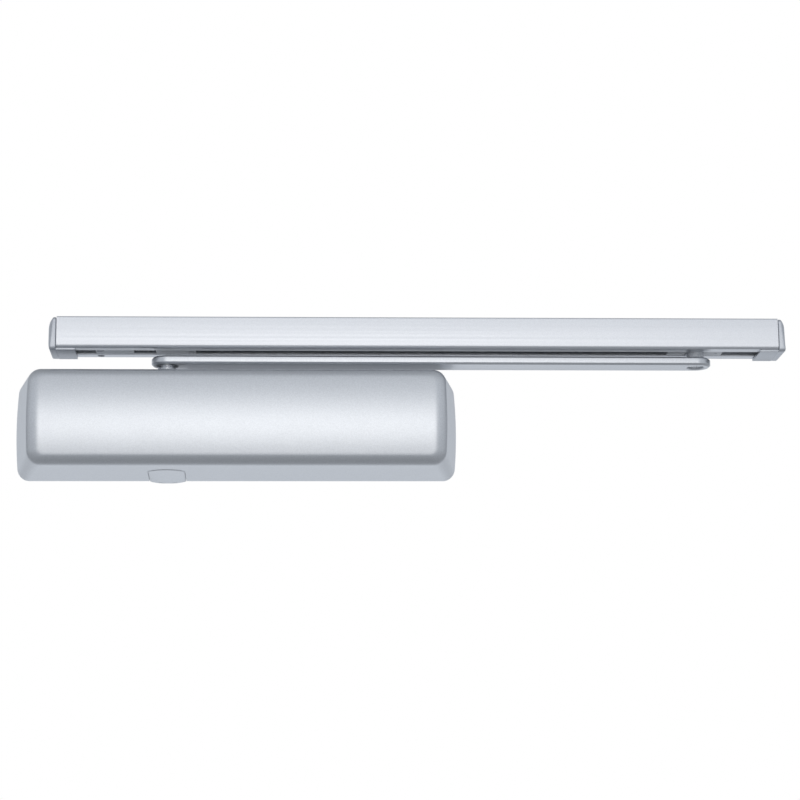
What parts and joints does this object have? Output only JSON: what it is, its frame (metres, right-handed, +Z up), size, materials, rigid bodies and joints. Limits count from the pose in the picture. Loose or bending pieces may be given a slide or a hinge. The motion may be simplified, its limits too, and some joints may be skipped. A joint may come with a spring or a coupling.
{
  "type": "door closer",
  "caption": "Overhead door closer with a cam-driven spindle, a flat slide arm and a guide rail with a sprung stop; its shell cover flares out to the door.",
  "frame": {"origin": "on the door's face, at the spindle's axis, half way up the closer body", "axes": "+X along the door towards the long end of the closer body, +Y into the door, +Z up, along the spindle towards the arm and the rail"},
  "size_m": [0.4721, 0.0567, 0.096],
  "materials": {
    "silver_paint": "satin silver metallic paint with a fine sparkle",
    "anodised_silver": "satin anodised",
    "cap_silver": "silver-grey lacquer, smoother than the rail",
    "cast_iron": "sand-cast skin under a thin grey primer",
    "zinc_steel": "bright zinc plate",
    "hard_steel": "ground and hardened",
    "spring_steel": "oiled spring wire",
    "light_nylon": "light grey glass-filled nylon",
    "bronze": "sintered bearing bronze",
    "brass": "turned brass",
    "rubber": "black seal rubber"
  },
  "bodies": {
    "closer_body": {"cover": "silver_paint", "spindle_cap": "silver_paint", "cover_clip_left": "zinc_steel", "cover_clip_right": "zinc_steel", "mounting_plate": "zinc_steel", "housing": "cast_iron", "housing_screw_1": "zinc_steel", "housing_screw_2": "zinc_steel", "housing_screw_3": "zinc_steel", "housing_screw_4": "zinc_steel", "chamber_cap": "zinc_steel", "upper_bearing": "bronze", "lower_bearing": "bronze", "upper_shaft_seal": "rubber", "lower_shaft_seal": "rubber", "spring_end_plug": "zinc_steel", "damper_end_plug": "zinc_steel", "spring_plug_seal": "rubber", "damper_plug_seal": "rubber", "main_spring": "spring_steel", "return_spring": "spring_steel"},
    "latching_speed_valve": {"latching_speed_valve": "brass"},
    "closing_speed_valve": {"closing_speed_valve": "brass"},
    "backcheck_valve": {"backcheck_valve": "brass"},
    "spring_adjusting_screw": {"spring_adjusting_screw": "zinc_steel"},
    "spring_plate": {"spring_plate": "zinc_steel"},
    "spindle_and_arm": {"spindle": "hard_steel", "cam": "hard_steel", "arm": "silver_paint", "arm_collar": "zinc_steel", "arm_screw": "zinc_steel", "arm_end_bush": "bronze"},
    "spring_piston": {"spring_piston": "hard_steel", "spring_roller_pin": "hard_steel", "spring_check_valve": "brass"},
    "spring_roller": {"spring_roller": "hard_steel"},
    "damper_piston": {"damper_piston": "hard_steel", "damper_roller_pin": "hard_steel", "damper_check_valve": "brass"},
    "damper_roller": {"damper_roller": "hard_steel"},
    "slider": {"slider": "light_nylon", "slider_pivot_screw": "zinc_steel"},
    "rail": {"guide_rail": "anodised_silver", "rail_end_cap_left": "cap_silver", "rail_end_cap_right": "cap_silver", "stop_block": "light_nylon", "stop_clamp_screw": "zinc_steel", "stop_spring": "spring_steel"},
    "stop_carriage": {"stop_carriage": "light_nylon", "stop_adjusting_screw": "zinc_steel"}
  },
  "joints": [
    {"name": "spindle_turn", "type": "hinge", "parent": "closer_body", "child": "spindle_and_arm", "pos_m": [0, -0.028, 0], "axis": [0, 0, 1], "range_deg": [0, 135], "stiffness_Nm_per_rad": 4, "springref_deg": -143.24},
    {"name": "spring_piston_travel", "type": "slide", "parent": "closer_body", "child": "spring_piston", "axis": [1, 0, 0], "range_m": [0, 0.0065], "deforming": ["main_spring"]},
    {"name": "damper_piston_travel", "type": "slide", "parent": "closer_body", "child": "damper_piston", "axis": [1, 0, 0], "range_m": [0, 0.0065], "deforming": ["return_spring"]},
    {"name": "spring_roller_spin", "type": "hinge", "parent": "spring_piston", "child": "spring_roller", "pos_m": [0.0145, -0.028, 0], "axis": [0, 0, 1], "continuous": true},
    {"name": "damper_roller_spin", "type": "hinge", "parent": "damper_piston", "child": "damper_roller", "pos_m": [-0.02298, -0.028, 0], "axis": [0, 0, 1], "continuous": true},
    {"name": "slider_swivel", "type": "hinge", "parent": "spindle_and_arm", "child": "slider", "pos_m": [0.3243, -0.028, 0], "axis": [0, 0, 1], "range_deg": [-50, 10]},
    {"name": "rail_travel", "type": "slide", "parent": "slider", "child": "rail", "axis": [1, 0, 0], "range_m": [-0.019, 0.285]},
    {"name": "stop_carriage_travel", "type": "slide", "parent": "rail", "child": "stop_carriage", "axis": [-1, 0, 0], "range_m": [0, 0.004], "stiffness_N_per_m": 2500, "springref_m": -0.004, "deforming": ["stop_spring"]},
    {"name": "spring_plate_travel", "type": "slide", "parent": "closer_body", "child": "spring_plate", "axis": [-1, 0, 0], "range_m": [0, 0.01125], "deforming": ["main_spring"]},
    {"name": "spring_force_turn", "type": "hinge", "parent": "closer_body", "child": "spring_adjusting_screw", "pos_m": [0.13, -0.028, 0], "axis": [1, 0, 0], "range_deg": [0, 3250]},
    {"name": "latching_speed_turn", "type": "hinge", "parent": "closer_body", "child": "latching_speed_valve", "pos_m": [-0.06, -0.0474, 0.0145], "axis": [0, 1, 0], "range_deg": [-720, 720]},
    {"name": "closing_speed_turn", "type": "hinge", "parent": "closer_body", "child": "closing_speed_valve", "pos_m": [-0.042, -0.0474, 0.0145], "axis": [0, 1, 0], "range_deg": [-720, 720]},
    {"name": "backcheck_turn", "type": "hinge", "parent": "closer_body", "child": "backcheck_valve", "pos_m": [0.04, -0.0474, 0.0145], "axis": [0, 1, 0], "range_deg": [-720, 720]}
  ],
  "couplings": [
    {"joint": "spring_piston_travel", "follows": "spindle_turn", "m_per_rad": 0.0027},
    {"joint": "damper_piston_travel", "follows": "spindle_turn", "m_per_rad": 0.0027},
    {"joint": "spring_force_turn", "follows": "spring_plate_travel", "rad_per_m": 5026.5}
  ]
}
